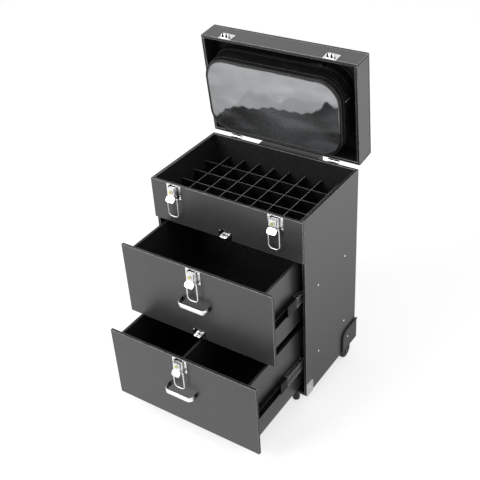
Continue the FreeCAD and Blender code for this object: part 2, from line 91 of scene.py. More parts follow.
# %% Shader arithmetic
class Sock:
    """One output of a node; arithmetic on it adds Math nodes."""

    def __init__(self, maker, socket):
        self.maker = maker
        self.socket = socket

    def math(self, operation, first, second):
        """The two values, joined by a Math node's operation."""
        return self.maker.add("ShaderNodeMath", {"operation": operation}, [first, second])

    def __add__(self, other):
        return self.math("ADD", self, other)

    def __sub__(self, other):
        return self.math("SUBTRACT", self, other)

    def __rsub__(self, other):
        return self.math("SUBTRACT", other, self)

    def __mul__(self, other):
        return self.math("MULTIPLY", self, other)

    def most(self, other):
        """The larger of the two values."""
        return self.math("MAXIMUM", self, other)

    __radd__, __rmul__ = __add__, __mul__


def grey(value, blue=0.0):
    """A grey of that brightness, with a little blue added if asked."""
    return (value, value, value + blue, 1.0)


class Maker:
    """Adds nodes to one tree."""

    def __init__(self, tree):
        self.tree = tree

    def feed(self, node, inputs):
        """Sets or links a node's sockets: by name from a dict, or in order from a list."""
        pairs = inputs.items() if isinstance(inputs, dict) else enumerate(inputs or [])
        for key, value in pairs:
            if isinstance(value, Sock):
                self.tree.links.new(value.socket, node.inputs[key])
            else:
                node.inputs[key].default_value = value

    def add(self, kind, settings=None, inputs=None, output=0):
        """A new node with its settings made first and its sockets fed after; one output comes back."""
        node = self.tree.nodes.new(kind)
        for key, value in (settings or {}).items():
            setattr(node, key, value)
        self.feed(node, inputs)
        return Sock(self, node.outputs[output])

    def place(self):
        """Where a point of the surface lies in the shared frame."""
        return self.add("ShaderNodeTexCoord", None, None, "Object")

    def along(self, axis, where):
        """How far a place lies along X, Y or Z."""
        return self.add("ShaderNodeSeparateXYZ", None, [where], axis)

    def ray(self, kind):
        """1 for rays of that kind, 0 for the others."""
        return self.add("ShaderNodeLightPath", None, None, "Is " + kind + " Ray")

    def noise(self, where, scale, detail=3.0):
        """Soft random values from 0 to 1, finer as the scale grows."""
        inputs = {"Vector": where, "Scale": scale, "Detail": detail, "Roughness": 0.55}
        return self.add("ShaderNodeTexNoise", None, inputs)

    def blend(self, share, first, second):
        """A colour that goes from the first to the second as the share goes from 0 to 1."""
        return self.add("ShaderNodeMix", {"data_type": "RGBA"}, {0: share, 6: first, 7: second}, 2)

    def step(self, value, low, high):
        """0 below low, 1 above high, and smooth between them."""
        smooth = {"interpolation_type": "SMOOTHSTEP"}
        return self.add("ShaderNodeMapRange", smooth, {0: value, 1: low, 2: high})

    def painted_hollow_shade(self, colour, reach):
        """The colour, painted darker as shade, to near black, in hollows narrower than the reach."""
        free = self.add("ShaderNodeAmbientOcclusion", {"samples": 8}, {"Distance": reach}, "AO")
        return self.blend(self.step(free, 0.35, 0.85), grey(0.03), colour)

    def bump(self, height, depth):
        """The surface's direction, tilted as if the height from 0 to 1 stood out by the depth."""
        return self.add("ShaderNodeBump", None, {"Height": height, "Distance": depth})


def new_finish(name):
    """An empty material, the maker of its nodes and its main shader."""
    material = bpy.data.materials.new(name)
    material.use_nodes = True
    return material, Maker(material.node_tree), material.node_tree.nodes["Principled BSDF"]


print("shader helpers ready")

# %% [markdown]
# The stage is a plain white studio: a pale floor and an even surround. What the camera and mirror-like metal
# see of them is white, while the light that they shed on the case stays at a plain level. The floor's glow,
# as the boards mirror it, is painted dimmer close to the case's right side and brighter further out, as a
# dark studio card would make it, so that the side panel darkens downwards.

# %% Surround and floor
def seen_directly(maker):
    """1 for what the camera sees, straight, by a mirror or through glass; 0 for the light that is shed."""
    return maker.ray("Camera").most(maker.ray("Glossy")).most(maker.ray("Transmission"))


shed_light = 0.42
world = bpy.data.worlds.new("studio")
world.use_nodes = True
scene.world = world
surround = Maker(world.node_tree)
surround_strength = seen_directly(surround) * (1 - shed_light) + shed_light
surround.feed(world.node_tree.nodes["Background"], {"Color": grey(1.0), "Strength": surround_strength})

floor_half, floor_glow = 15, 0.66
reflection_ramp_edge, reflection_ramp_reach, near_loss, far_gain = 0.002, 0.5, 0.55, 1.05
right_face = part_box("side_panels")[1].x
floor_finish, floor_maker, floor_shader = new_finish("pale_floor")
across_floor = floor_maker.along("X", floor_maker.place())
beside_case = floor_maker.step(across_floor, right_face, right_face + reflection_ramp_edge)
away = floor_maker.step(across_floor, right_face, right_face + reflection_ramp_reach)
# Painted reflection: mirror rays see the floor's glow dimmed beside the case's right face and raised further
# out.
painted_reflection_ramp = floor_maker.ray("Glossy") * beside_case * (far_gain * away - near_loss)
floor_maker.feed(floor_shader, {"Base Color": grey(0.62), "Roughness": 0.9, "Emission Strength": floor_glow,
                                "Emission Color": seen_directly(floor_maker) + painted_reflection_ramp})
floor_corners = floor_half * np.array([(-1, -1, 0), (1, -1, 0), (1, 1, 0), (-1, 1, 0)])
floor_mesh = bpy.data.meshes.new("floor")
floor_mesh.from_pydata(floor_corners.tolist(), [], [(0, 1, 2, 3)])
floor_mesh.materials.append(floor_finish)
floor = bpy.data.objects.new("floor", floor_mesh)
scene.collection.objects.link(floor)
print("floor", 2 * floor_half, "m wide")

# %% [markdown]
# Three large area lamps give the soft, nearly shadowless light of a catalogue picture. The front one is the
# strongest; the others only lift the right side and the lid's top.

# %% Lamps
lamp_target = Vector((0, 0, 0.3))


def lamp(name, place, size, power):
    """A square soft lamp that faces the middle of the case."""
    data = bpy.data.lights.new(name, "AREA")
    data.size = size
    data.energy = power
    made = bpy.data.objects.new(name, data)
    scene.collection.objects.link(made)
    made.location = place
    made.rotation_mode = "QUATERNION"
    made.rotation_quaternion = (lamp_target - made.location).to_track_quat("-Z", "Y")


lamp("front_lamp", (-1.2, -2.0, 1.7), size=1.6, power=36)
lamp("right_lamp", (1.5, -0.1, 1.9), size=1.0, power=6)
lamp("top_lamp", (0.2, 0.6, 2.4), size=1.6, power=2)

# %% [markdown]
# Most of the case is board with a matt charcoal skin. The real skin has a fine grain and is a little uneven
# in colour. Its edges are painted paler, partly for wear and partly as the highlight that they catch. Two
# scales of noise give the grain and the unevenness; an image would only be sharp at one distance. The same
# recipe, with other numbers, serves the lining, plastic, rubber, vinyl and plated metal.

# %% Grained finishes
def grained(name, dark, light, scale, rough, depth, metal=0.0, spread=0.12, coat=0.0, shine=0.5, hollow_shade_reach=0.0):
    """Colour and roughness follow a broad noise, and the bump a fine one that is ten times smaller.

    Where a hollow is narrower than the last argument's reach, the colour is painted black, as shade.
    """
    material, maker, shader = new_finish(name)
    where = maker.place()
    broad = maker.noise(where, scale)
    fine = maker.noise(where, scale * 10, 2.0)
    colour = maker.blend(maker.step(broad, 0.3, 0.7), dark, light)
    # Painted shade: the colour darkens in hollows narrower than the reach.
    if hollow_shade_reach:
        colour = maker.painted_hollow_shade(colour, hollow_shade_reach)
    inputs = {"Base Color": colour, "Roughness": rough + spread * (broad - 0.5), "Metallic": metal}
    inputs.update({"Normal": maker.bump(fine, depth), "Coat Weight": coat, "Specular IOR Level": shine})
    maker.feed(shader, inputs)
    return material


board_skin = grained("board_skin", grey(0.043, 0.002), grey(0.049, 0.002), 60, 0.36, 0.00004, spread=0.06,
                     shine=0.7)
board_rim = grained("board_rim", grey(0.006), grey(0.014), 120, 0.5, 0.00005)
# Edge bevels of the boards: paler, partly wear and partly a painted highlight.
board_edge_wear_and_highlight = grained("board_edge_wear_and_highlight", grey(0.17), grey(0.40), 160, 0.42, 0.00004)
lining = grained("lining", grey(0.008), grey(0.015), 120, 0.65, 0.0001, shine=0.3)
# Edge bevels of the drawer boxes: paler, partly wear and partly a painted highlight.
box_edge_wear_and_highlight = grained("box_edge_wear_and_highlight", grey(0.05), grey(0.12), 160, 0.5, 0.00005)
rail_black = grained("rail_black", grey(0.005), grey(0.010), 90, 0.34, 0.00003, shine=0.12)
zinc = grained("zinc", grey(0.38), grey(0.6), 140, 0.34, 0.00002, metal=1.0)
# The chrome is painted dark, as shade, in hollows narrower than 7 mm.
chrome = grained("chrome", grey(0.72), grey(0.82), 60, 0.13, 0.000004, metal=1.0, spread=0.06, hollow_shade_reach=0.007)
bright_wire = grained("bright_wire", grey(0.84), grey(0.9), 60, 0.42, 0.000004, metal=1.0, spread=0.06)
brass = grained("brass", (0.5, 0.44, 0.12, 1), (0.68, 0.6, 0.22, 1), 200, 0.25, 0.00001, metal=1.0)
guard_steel = grained("guard_steel", grey(0.62), grey(0.74), 90, 0.36, 0.00001, metal=1.0)
black_plastic = grained("black_plastic", grey(0.01), grey(0.018), 80, 0.42, 0.00005)
rubber = grained("rubber", grey(0.014), grey(0.03), 90, 0.7, 0.00006)
hub_plastic = grained("hub_plastic", grey(0.07), grey(0.11), 70, 0.45, 0.00003)
housing_skin = grained("housing_skin", grey(0.022), grey(0.032), 70, 0.42, 0.00006, shine=0.6)
vinyl = grained("vinyl", grey(0.011), grey(0.015), 50, 0.26, 0.00002, coat=0.15, shine=0.3)
# Painted highlight for the window's bead: pale patches on its top.
window_bead_highlight = grained("window_bead_highlight", grey(0.02), grey(0.5), 16, 0.2, 0.00002)
# Painted highlight for the folded end of the zip's tab.
tab_fold_highlight = grained("tab_fold_highlight", grey(0.4), grey(0.62), 90, 0.4, 0.00003)
print("finishes:", len(bpy.data.materials))

# %% [markdown]
# Brushed metal shows fine lines in one direction, so its noise is stretched along an axis: the pulls' satin
# nickel along x, which is their length. The catches' chrome is stretched across it, and its wide range from
# near black to pale is a painted reflection, drawn as streaks. Both are painted dark in their narrow hollows,
# as shade.

# %% Brushed metal with painted shade
def brushed_with_painted_shade(name, dark, light, rough, scale, reach):
    """Noise stretched along the axis of the smallest scale, for colour, roughness and bump.

    Hollows narrower than the reach are painted dark, as shade.
    """
    material, maker, shader = new_finish(name)
    drawn = maker.add("ShaderNodeMapping", None, {"Vector": maker.place(), "Scale": scale})
    lines = maker.noise(drawn, 1.0)
    colour = maker.blend(maker.step(lines, 0.36, 0.64), dark, light)
    maker.feed(shader, {"Base Color": maker.painted_hollow_shade(colour, reach), "Roughness": rough + 0.14 * (lines - 0.5),
                        "Metallic": 1.0, "Normal": maker.bump(lines, 0.00001)})
    return material


lines_along_x, lines_across_x = (40, 1200, 1200), (420, 60, 60)
# Painted shade: the pulls' nickel goes dark in hollows narrower than 3 cm.
satin_nickel = brushed_with_painted_shade("satin_nickel", (0.86, 0.85, 0.83, 1), (0.94, 0.93, 0.91, 1), 0.28, lines_along_x,
                       reach=0.03)
# The catches' chrome: painted reflections, as dark and pale streaks across x, and painted shade in its
# hollows.
chrome_painted_reflections = brushed_with_painted_shade("chrome_painted_reflections", grey(0.16), grey(0.86), 0.2, lines_across_x, reach=0.009)
print("brushed finishes:", satin_nickel.name, chrome_painted_reflections.name)

# %% [markdown]
# The tray's dividers are thin black sheets with a pale line along each top. A top is found from the height in
# the shared frame, and its middle from the even step between dividers, so one finish serves a whole set.

# %% Dividers with pale tops
divider_sheet, steps_before = 0.0015, 4


def pale_topped_divider(node, axis, count):
    """Black, with a pale line along the middle of each top.

    The distance from the nearest divider's middle is the place along the axis, folded to and fro by half the
    step between dividers. It is counted from a few whole steps before the first one.
    """
    material, maker, shader = new_finish(node)
    low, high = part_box(node)
    k = "XYZ".index(axis)
    step = (high[k] - low[k] - divider_sheet) / (count - 1)
    start = low[k] + divider_sheet / 2 - steps_before * step
    where = maker.place()
    folded = [maker.along(axis, where) - start, step / 2]
    off_middle = maker.add("ShaderNodeMath", {"operation": "PINGPONG"}, folded)
    patch = maker.noise(where, 90)
    top = maker.step(maker.along("Z", where), high.z - 0.0003, high.z - 0.0001)
    # A patchy pale line along the middle of each divider's top.
    pale_topped = (1 - maker.step(off_middle, 0.0002, 0.0004)) * top * (0.35 + 0.8 * patch)
    grain = maker.bump(maker.noise(where, 900, 2.0), 0.00004)
    maker.feed(shader, {"Base Color": maker.blend(pale_topped, grey(0.004), grey(0.7)), "Normal": grain,
                        "Roughness": 0.5 + 0.2 * (patch - 0.5), "Specular IOR Level": 0.25})
    return material


long_dividers = pale_topped_divider("tray_dividers_long", "Y", 4)
cross_dividers = pale_topped_divider("tray_dividers_cross", "X", 8)
print("worn finishes:", long_dividers.name, cross_dividers.name)

# %% [markdown]
# The middle rails are black too, but bare zinc with two rows of bearing balls shows where they come out of
# the case. The balls are far too small to model, so a sine along the rail draws them, broken up by noise.

# %% Bare rails
panel, ball_pitch = 0.006, 0.006


def rail_with_cage(drawer, bare):
    """Black paint, with a length of bare zinc behind the case's front edge.

    In the zinc, the crests of a sine along the rail are balls, where they are far enough from its middle.
    """
    material, maker, shader = new_finish(drawer + "_middle_rail")
    low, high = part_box(drawer + "_middle_rails")
    where = maker.place()
    along = maker.along("Y", where)
    bare_from = front_y + panel - bare
    plated = maker.step(along, bare_from - 0.002, bare_from + 0.002)
    beat = maker.add("ShaderNodeMath", {"operation": "SINE"}, [along * (2 * math.pi / ball_pitch)])
    height = maker.along("Z", where) - (low.z + high.z) / 2
    off_middle = maker.add("ShaderNodeMath", {"operation": "ABSOLUTE"}, [height])
    patch = maker.noise(where, 160)
    ball = maker.step(beat + 2.4 * (patch - 0.5), 0.2, 0.7) * maker.step(off_middle, 0.0065, 0.0075) * plated
    zinc_colour = maker.blend(ball, maker.blend(patch, grey(0.035), grey(0.09)), grey(0.42))
    maker.feed(shader, {"Base Color": maker.blend(plated, grey(0.007), zinc_colour), "Metallic": plated,
                        "Roughness": 0.4 - 0.18 * ball, "Specular IOR Level": 0.12,
                        "Normal": maker.bump(ball + 0.2 * patch, 0.0004)})
    return material


upper_rail_finish = rail_with_cage("upper", bare=0.02)
lower_rail_finish = rail_with_cage("lower", bare=0.061)
print("rail finishes:", upper_rail_finish.name, lower_rail_finish.name)

# %% [markdown]
# Every CAD node that stays visible gets its finish here, by its name or by the end of its name. Its mesh
# isn't touched.

# %% Finishes of the CAD nodes
cad_finishes = [
    (("shelf_panels", "upper_floor", "lower_floor"), lining),
    (("tray_dividers_long",), long_dividers),
    (("tray_dividers_cross",), cross_dividers),
    (("cabinet_rails", "upper_rails", "lower_rails"), rail_black),
    (("upper_middle_rails",), upper_rail_finish),
    (("lower_middle_rails",), lower_rail_finish),
    (("cabinet_hinges", "lid_hinges", "side_rivets"), chrome),
    (("corner_guards",), guard_steel),
    (("wheel_axles",), hub_plastic),
    (("front_feet",), rubber),
    (("wheel_housings",), housing_skin),
]
latch_finishes = {"_plate": chrome, "_plates": chrome, "_lever": chrome, "_catches": chrome,
                  "_catch": chrome_painted_reflections, "_bail": bright_wire, "_key_plug": brass}
chosen = {name: material for names, material in cad_finishes for name in names}
for ending, material in latch_finishes.items():
    chosen.update({name: material for name in nodes if name.endswith(ending)})
for name, material in chosen.items():
    nodes[name].data.materials.clear()
    nodes[name].data.materials.append(material)
print("CAD nodes finished:", len(chosen))

# %% [markdown]
# New pieces are arrays of points and faces. A part is its points with blocks of faces, each block with the
# number of its finish, and several parts make one object. Blender's own Join would do as well, but it
# needs a selection, and arrays don't.

# %% From arrays to pieces
def piece(name, parts, finishes, body, replaces=(), smooth=False, sheet=False):
    """One object at the origin from parts of (points, [(faces, finish number), ...]).

    Faces of a closed piece are turned outwards; a sheet keeps its facing.
    """
    points = np.concatenate([part[0] for part in parts])
    starts = np.cumsum([0] + [len(part[0]) for part in parts])
    blocks = [(faces + start, number) for part, start in zip(parts, starts) for faces, number in part[1]]
    mesh = bpy.data.meshes.new(name)
    mesh.from_pydata(points.tolist(), [], [face for faces, number in blocks for face in faces.tolist()])
    for material in finishes:
        mesh.materials.append(material)
    numbers = np.concatenate([np.full(len(faces), number) for faces, number in blocks])
    mesh.polygons.foreach_set("material_index", numbers.astype(np.int32))
    mesh.polygons.foreach_set("use_smooth", np.full(len(numbers), smooth))
    if not sheet:
        net = bmesh.new()
        net.from_mesh(mesh)
        bmesh.ops.recalc_face_normals(net, faces=net.faces)
        net.to_mesh(mesh)
        net.free()
    made = bpy.data.objects.new(name, mesh)
    scene.collection.objects.link(made)
    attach(made, body)
    if replaces:
        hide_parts(*replaces)
    print(name, len(points), "points on", body)
    return made


print("ready to make pieces")

# %% [markdown]
# The boards are prisms: an outline in one plane, carried straight across the board's thickness. A cube would
# do for most of them, but the sides are cut out over the wheels. Their sharp edges are eased by a bevel with
# a paler finish, which draws the thin light lines along the real edges. That finish is partly wear and partly
# a painted highlight. The inner faces are lined in black, so each face of a board says which of its finishes
# it shows.

# %% Boards as prisms
X, Y, Z = range(3)
OUTSIDE, ROUNDED, INSIDE, RIM = range(4)
board_finishes = [board_skin, board_edge_wear_and_highlight, lining, board_rim]


def prism(outline, span, axis, first, second, rim=RIM):
    """An outline in the two other axes, carried along an axis from span[0] to span[1].

    The first cap, the second cap and the rim each have the number of a finish.
    """
    count = len(outline)
    ends = [np.insert(np.asarray(outline, float), axis, level, axis=1) for level in span]
    around = np.arange(count)
    after = (around + 1) % count
    sides = np.stack([around, after, after + count, around + count], axis=1)
    caps = [(around[None, ::-1], first), (around[None] + count, second)]
    return np.concatenate(ends), [(sides, rim)] + caps


def slab(low, high, axis, first, second, rim=RIM):
    """A box-shaped board between two corners, thin along the axis."""
    (a, b), (c, d) = [(low[k], high[k]) for k in (X, Y, Z) if k != axis]
    return prism([(a, c), (b, c), (b, d), (a, d)], (low[axis], high[axis]), axis, first, second, rim)


def eased(made, width, edge=ROUNDED, segments=2):
    """Rounds every edge sharper than 40 degrees, and gives the rounding the finish with that number."""
    bevel = made.modifiers.new("eased_edges", "BEVEL")
    bevel.width = width
    bevel.segments = segments
    bevel.material = edge
    bevel.limit_method = "ANGLE"
    bevel.angle_limit = math.radians(40)
    return made


print("board finishes:", [material.name for material in board_finishes])

# %% [markdown]
# The outer boards are the two sides, the back and the fascia, which is the front of the bottle tray. Each
# side is cut out round its wheel. The arch is part of a circle about the axle, put into the outline of the
# side, which is cleaner than cutting it with a Boolean modifier.

# %% Boards of the case
board_ease = 0.0008


def node_slab(node, axis, first, second):
    """A board with the box of a CAD node."""
    low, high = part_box(node)
    return slab(low, high, axis, first, second)


def corners(node):
    """The lowest and highest corner of a CAD node, as arrays."""
    return [np.array(corner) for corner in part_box(node)]


wheel_cut, arch_steps = 0.021, 25
sides_low, sides_high = corners("side_panels")
wheel_middle = sum(corners("right_wheel_tyre")) / 2
arch_turn = math.acos((sides_low[2] - wheel_middle[2]) / wheel_cut)
sweep = np.linspace(-arch_turn, arch_turn, arch_steps)
arch = wheel_middle[1:] + wheel_cut * np.stack([np.sin(sweep), np.cos(sweep)], axis=1)
rear_foot, front_top = (sides_high[1], sides_low[2]), (sides_low[1], sides_high[2])
side_outline = np.concatenate([[sides_low[1:]], arch, [rear_foot, sides_high[1:], front_top]])
left_side = prism(side_outline, (sides_low[0], sides_low[0] + panel), X, OUTSIDE, INSIDE)
right_side = prism(side_outline, (sides_high[0] - panel, sides_high[0]), X, INSIDE, OUTSIDE)
case_boards = [("case_sides", [left_side, right_side], "side_panels"),
               ("case_back", [node_slab("back_panel", Y, INSIDE, OUTSIDE)], "back_panel"),
               ("fascia_board", [node_slab("fascia", Y, OUTSIDE, INSIDE)], "fascia")]
for name, parts, node in case_boards:
    eased(piece(name, parts, board_finishes, "cabinet", [node]), board_ease)

# %% [markdown]
# A drawer is a front of the same board with a black box behind it. The front overhangs the box on every side,
# and the box's upper edges show as thin lines, so they are eased as well, with a paler finish that is partly
# wear and partly a painted highlight.

# %% Drawer boards
drawer_wall, box_ease = 0.005, 0.0005
box_finishes = [board_skin, box_edge_wear_and_highlight, lining, board_rim]
for drawer in ("upper", "lower"):
    body = drawer + "_drawer"
    front = node_slab(drawer + "_front", Y, OUTSIDE, INSIDE)
    eased(piece(drawer + "_front_board", [front], board_finishes, body, [drawer + "_front"]),
          board_ease)
    low, high = corners(drawer + "_sides")
    walls = [slab(low, (low[0] + drawer_wall, high[1], high[2]), X, OUTSIDE, INSIDE),
             slab((high[0] - drawer_wall, low[1], low[2]), high, X, INSIDE, OUTSIDE),
             node_slab(drawer + "_back", Y, INSIDE, OUTSIDE)]
    stood_for = [drawer + "_sides", drawer + "_back"]
    if drawer == "lower":
        walls.append(node_slab("lower_divider", X, INSIDE, INSIDE))
        stood_for.append("lower_divider")
    eased(piece(drawer + "_box", walls, box_finishes, body, stood_for), box_ease)

# %% [markdown]
# The lid is a shallow box of five boards. It is easiest to measure it closed, lying on the case, in
# millimetres from the fascia's front, and then to turn its points about the hinge line to where it stands
# open. The hinge joint in the record gives that line and turn.

# %% Lid boards
mm = 0.001
lid_joint = next(joint for joint in frame["joints"] if joint["name"] == "lid_hinge")
hinge_y, hinge_z = lid_joint["pos_m"][1:]
opening = -math.radians(lid_joint["range_deg"][1])


def in_metres(points):
    """Millimetres from the fascia's front to metres in the shared frame."""
    return np.asarray(points, float) * mm + (0, front_y, 0)


def opened(points):
    """Points of the closed lid, turned about the hinge line to the open lid."""
    x, y, z = np.asarray(points, float).T
    dy, dz = y - hinge_y, z - hinge_z
    c, s = math.cos(opening), math.sin(opening)
    return np.stack([x, hinge_y + c * dy - s * dz, hinge_z + s * dy + c * dz], axis=1)


def in_lid(part):
    """A part measured on the closed lid, in millimetres, put into the open lid."""
    return opened(in_metres(part[0])), part[1]


lid_half, lid_depth, lid_low, lid_high, lid_board = 170.0, 216.0, 455.0, 503.0, 6.0
lid_inside = lid_high - lid_board
inner_half, inner_depth = lid_half - lid_board, lid_depth - lid_board
lid_top = slab((-lid_half, 0, lid_inside), (lid_half, lid_depth, lid_high), Z, INSIDE, OUTSIDE)
lid_walls = [
    slab((-lid_half, 0, lid_low), (lid_half, lid_board, lid_inside), Y, OUTSIDE, INSIDE),
    slab((-lid_half, inner_depth, lid_low), (lid_half, lid_depth, lid_inside), Y, INSIDE, OUTSIDE),
    slab((-lid_half, lid_board, lid_low), (-inner_half, inner_depth, lid_inside), X, OUTSIDE, INSIDE),
    slab((inner_half, lid_board, lid_low), (lid_half, inner_depth, lid_inside), X, INSIDE, OUTSIDE),
]
eased(piece("lid_top_board", [in_lid(lid_top)], board_finishes, "lid", ["lid_top"]),
      board_ease)
eased(piece("lid_walls", [in_lid(part) for part in lid_walls], board_finishes, "lid",
            ["lid_long_walls", "lid_end_walls"]), board_ease)

# %% [markdown]
# Many parts of the case are a small section carried along a line: pulls, piping, beads and the zip's tape.
# The section's rounded corners give the soft edges that catch the light. A bent line is straight runs with
# an arc at each corner, as a bender would make it from strip.

# %% Sections carried along lines
def rounded_section(width, height, corner, steps=4):
    """A rectangle with quarter-circle corners, as points round its middle."""
    quarter = np.linspace(0, np.pi / 2, steps)
    quarters = quarter[None] + np.arange(4)[:, None] * np.pi / 2
    signs = np.array([(1, 1), (-1, 1), (-1, -1), (1, -1)])
    middle = signs * (width / 2 - corner, height / 2 - corner)
    ring = middle[:, None] + corner * np.stack([np.cos(quarters), np.sin(quarters)], axis=2)
    return ring.reshape(-1, 2)


def bent(points, radius, steps=10):
    """Straight runs with an arc of the radius at each inner corner."""
    points = np.asarray(points, float)
    path = [points[:1]]
    for before, corner, after in zip(points, points[1:], points[2:]):
        u = (before - corner) / np.linalg.norm(before - corner)
        v = (after - corner) / np.linalg.norm(after - corner)
        half_turn = math.acos(float(u @ v)) / 2
        middle = corner + (u + v) / np.linalg.norm(u + v) * radius / math.sin(half_turn)
        swing = np.linspace(-1, 1, steps)[:, None] * (np.pi / 2 - half_turn)
        axis = (corner - middle) / np.linalg.norm(corner - middle)
        across = (v - u) / np.linalg.norm(v - u)
        path.append(middle + radius * (np.cos(swing) * axis + np.sin(swing) * across))
    return np.concatenate(path + [points[-1:]])


def grid_faces(rows, columns, wrap_rows=False, wrap_columns=False):
    """The four-cornered faces of a grid of points, wrapped round where it closes on itself."""
    i = np.arange(rows if wrap_rows else rows - 1)
    j = np.arange(columns if wrap_columns else columns - 1)
    i, j = np.meshgrid(i, j, indexing="ij")
    here, below = i * columns, (i + 1) % rows * columns
    over = (j + 1) % columns
    return np.stack([here + j, below + j, below + over, here + over], axis=2).reshape(-1, 4)


def swept(path, section, normal, closed=False, number=0):
    """A section carried along a flat path: its first axis across the path, its second along the normal."""
    path = np.asarray(path, float)
    normal = np.asarray(normal, float)
    ahead = np.roll(path, -1, 0) - np.roll(path, 1, 0) if closed else np.gradient(path, axis=0)
    ahead /= np.linalg.norm(ahead, axis=1)[:, None]
    across = np.cross(normal, ahead)
    points = path[:, None] + section[None, :, :1] * across[:, None] + section[None, :, 1:] * normal
    rows, columns = len(path), len(section)
    blocks = [(grid_faces(rows, columns, closed, True), number)]
    if not closed:
        ring = np.arange(columns)[None]
        blocks += [(ring[:, ::-1], number), (ring + (rows - 1) * columns, number)]
    return points.reshape(-1, 3), blocks


print("sweep helpers ready")

# %% [markdown]
# A pull is a flat band of satin nickel bent to a U, with its two ends on the drawer's front. It keeps to
# the middle of its CAD band, half a sheet's thickness in from that box.

# %% Pulls
band_sheet, band_corner, band_bend = 0.0026, 0.0009, 0.0098
for drawer in ("upper", "lower"):
    low, high = corners(drawer + "_pull")
    x, face, tip_y, z = high[0] - band_sheet / 2, high[1], low[1] + band_sheet / 2, (low[2] + high[2]) / 2
    line = bent([(-x, face, z), (-x, tip_y, z), (x, tip_y, z), (x, face, z)], band_bend, steps=14)
    band = swept(line, rounded_section(band_sheet, high[2] - low[2], band_corner), (0, 0, 1))
    piece(drawer + "_pull_band", [band], [satin_nickel], drawer + "_drawer",
          [drawer + "_pull"], smooth=True)

# %% [markdown]
# A wheel is turned about its axle: a hard hub with a dished face, and a rubber tyre with two grooves. Each
# is a closed section carried once round a circle, so it has no poles to close.

# %% Wheels turned about their axles
def turned(section, centre, steps=64, number=0, axis=X):
    """A closed section of (distance along the axis, radius) carried round that axis."""
    angle = np.linspace(0, 2 * np.pi, steps, endpoint=False)[:, None]
    along = np.broadcast_to(section[:, 0], (steps, len(section)))
    points = np.stack([along, section[:, 1] * np.cos(angle), section[:, 1] * np.sin(angle)], axis=2)
    points = np.roll(points, axis, axis=2)
    return points.reshape(-1, 3) + centre, [(grid_faces(steps, len(section), True, True), number)]


def creased(made):
    """Keeps the edges of a smooth piece sharp where its faces meet at more than 35 degrees."""
    made.data.set_sharp_from_angle(angle=math.radians(35))


tyre_section = np.array([(-8, 12.1), (8, 12.1), (8, 15.6), (7.4, 17.2), (5.6, 18), (3.4, 18), (3, 17.2),
                         (2.2, 17.2), (1.8, 18), (-1.8, 18), (-2.2, 17.2), (-3, 17.2), (-3.4, 18), (-5.6, 18),
                         (-7.4, 17.2), (-8, 15.6)])
hub_section = np.array([(-8, 3.1), (8, 3.1), (8, 5.6), (7.4, 6.2), (5.2, 6.8), (4.6, 8), (5, 9.6),
                        (7.6, 10.2), (8, 10.8), (8, 12.05), (-8, 12.05), (-8, 10.8), (-7.6, 10.2), (-5, 9.6),
                        (-4.6, 8), (-5.2, 6.8), (-7.4, 6.2), (-8, 5.6)])
wheel_parts = [("tyre", tyre_section, rubber, "rubber"), ("hub", hub_section, hub_plastic, "black_plastic")]
for side, sign in (("left", -1), ("right", 1)):
    centre = wheel_middle * (sign, 1, 1)
    for name, section, material, slot in wheel_parts:
        creased(piece(side + "_" + name, [turned(section * mm, centre)], [material], side + "_wheel",
                      [side + "_wheel_" + name], smooth=True))

# %% [markdown]
# A black rubber bead follows the front and top edges of each wheel housing. It is the same sweep as a pull,
# along a line with one rounded corner. The left bead is the right one with its x turned round.

# %% Beads on the wheel housings
housing_length, bead_foot, bead_bend = 0.063, 0.012, 0.018
bead_width, bead_height, bead_corner = 0.0042, 0.003, 0.0013
housing_low, housing_high = corners("wheel_housings")
bead_x, bead_rear, bead_top = housing_high
bead_front = bead_rear - housing_length
bead_line = bent([(bead_x, bead_front, housing_low[2] + bead_foot), (bead_x, bead_front, bead_top),
                  (bead_x, bead_rear, bead_top)], bead_bend, steps=16)
right_bead = swept(bead_line, rounded_section(bead_width, bead_height, bead_corner), (1, 0, 0))
left_bead = (right_bead[0] * (-1, 1, 1), [(faces[:, ::-1], number) for faces, number in right_bead[1]])
piece("housing_beads", [right_bead, left_bead], [rubber], "cabinet", smooth=True)

# %% [markdown]
# Behind the back panel a pull handle is stowed: a moulded grip on two plated stems, which slide in black
# guides held by two brackets. Only the top of the grip shows in the main picture, as a dark stretch in the
# gap under the lid.

# %% Pull handle
grip_low, grip_high = corners("pull_handle")
guides_low, guides_high = corners("handle_guides")
grip_height, grip_corner, stem_x = 0.022, 0.007, 0.052
grip_y, grip_z = (grip_low[1] + grip_high[1]) / 2, grip_high[2] - grip_height / 2


def tubes(low_z, high_z, inner, outer):
    """Two upright tubes: a rectangle of (height, radius) turned about the line of each stem."""
    section = np.array([(low_z, inner), (high_z, inner), (high_z, outer), (low_z, outer)])
    return [turned(section, (x, grip_y, 0), steps=32, number=1, axis=Z) for x in (-stem_x, stem_x)]


grip_line = np.linspace((grip_low[0], grip_y, grip_z), (grip_high[0], grip_y, grip_z), 9)
grip_section = rounded_section(grip_high[1] - grip_low[1], grip_height, grip_corner, steps=7)
stems = tubes(grip_low[2], grip_z - grip_height / 2, inner=0.0053, outer=0.0065)
creased(piece("handle_grip", [swept(grip_line, grip_section, (0, 0, 1))] + stems, [black_plastic, zinc],
              "pull_handle", ["pull_handle"], smooth=True))

